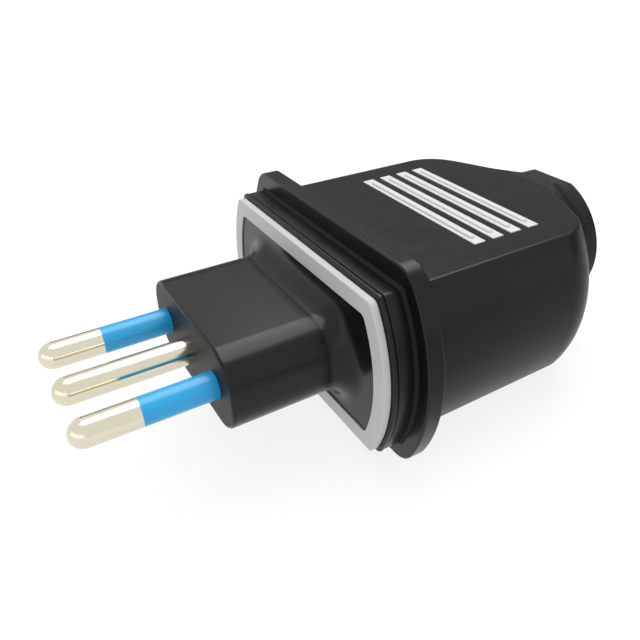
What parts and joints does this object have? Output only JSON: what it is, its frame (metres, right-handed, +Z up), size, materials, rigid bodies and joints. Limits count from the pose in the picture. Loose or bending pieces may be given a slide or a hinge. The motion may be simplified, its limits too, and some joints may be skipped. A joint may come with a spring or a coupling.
{
  "type": "three-pin rubber plug",
  "caption": "Rewireable black rubber mains plug with round pins in line, a sealing ring behind the pin block, a wide flange and a round cable outlet.",
  "frame": {"origin": "middle of the pin block's front face, on the middle pin's axis", "axes": "+X along the row of pins towards the neutral pin, +Y along the plug from its pins to its cable outlet, +Z up, out of the side with the pale bars"},
  "size_m": [0.0542, 0.091, 0.0322],
  "materials": {
    "housing_rubber": "smooth glossy moulded black rubber",
    "insert_plastic": "glossy black moulded thermoplastic",
    "seal_rubber": "light grey moulded sealing rubber",
    "sleeve_plastic": "glossy blue moulded insulation",
    "nickel_plate": "bright nickel plating on turned brass",
    "zinc_steel": "zinc plated steel",
    "carrier_plastic": "matt grey moulded thermoset",
    "bar_plastic": "off-white inlaid plastic"
  },
  "bodies": {
    "root": {"front_insert": "insert_plastic", "line_pin": "nickel_plate", "earth_pin": "nickel_plate", "neutral_pin": "nickel_plate", "line_pin_sleeve": "sleeve_plastic", "neutral_pin_sleeve": "sleeve_plastic", "line_terminal_screw": "zinc_steel", "earth_terminal_screw": "zinc_steel", "neutral_terminal_screw": "zinc_steel", "terminal_carrier": "carrier_plastic", "carrier_screw_1": "zinc_steel", "carrier_screw_2": "zinc_steel", "cord_clamp": "carrier_plastic", "cord_clamp_screw_1": "zinc_steel", "cord_clamp_screw_2": "zinc_steel", "sealing_ring": "seal_rubber", "rubber_housing": "housing_rubber", "grip_bar_1": "bar_plastic", "grip_bar_2": "bar_plastic", "grip_bar_3": "bar_plastic", "grip_bar_4": "bar_plastic"}
  },
  "joints": []
}
